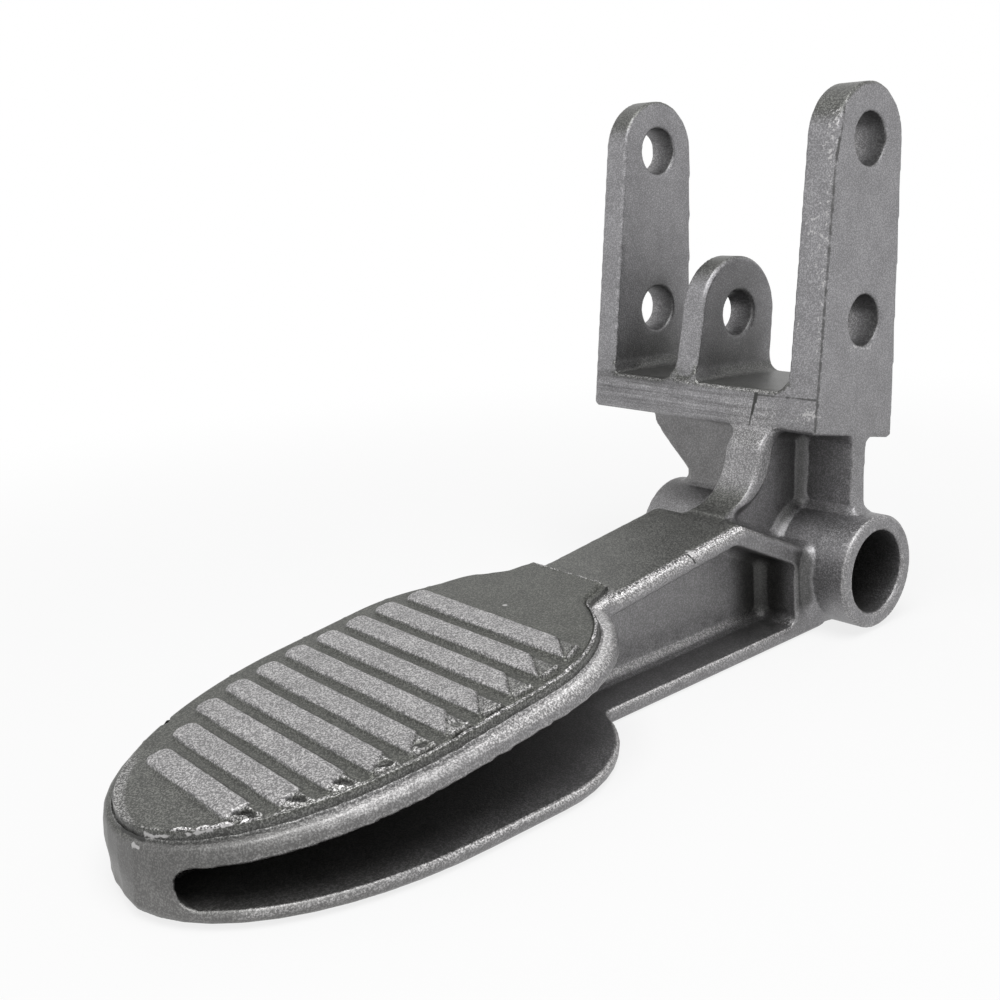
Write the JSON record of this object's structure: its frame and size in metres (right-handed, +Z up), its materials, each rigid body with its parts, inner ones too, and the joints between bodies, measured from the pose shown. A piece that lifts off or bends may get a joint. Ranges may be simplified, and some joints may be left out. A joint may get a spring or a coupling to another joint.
{
  "type": "foot pedal lever",
  "caption": "Cast foot pedal lever: a ribbed oval tread on a hollow-sided arm, a cross tube to pivot on, and an upright fork with a centre lug that takes clevis pins.",
  "frame": {"origin": "on the centre line of the pivot bore, in the middle plane of the arm", "axes": "+X along the pivot bore towards the shorter tube end, -Y towards the toe, +Z up, with the sole level"},
  "size_m": [0.0869, 0.2005, 0.1257],
  "materials": {
    "cast_aluminium": "as cast, fine sandy grain with bright worn rims"
  },
  "bodies": {
    "root": {"lever_arm": "cast_aluminium", "tread_panel": "cast_aluminium", "pivot_tube": "cast_aluminium", "neck": "cast_aluminium", "yoke_bar": "cast_aluminium", "left_ear": "cast_aluminium", "right_ear": "cast_aluminium", "centre_lug": "cast_aluminium"}
  },
  "joints": []
}
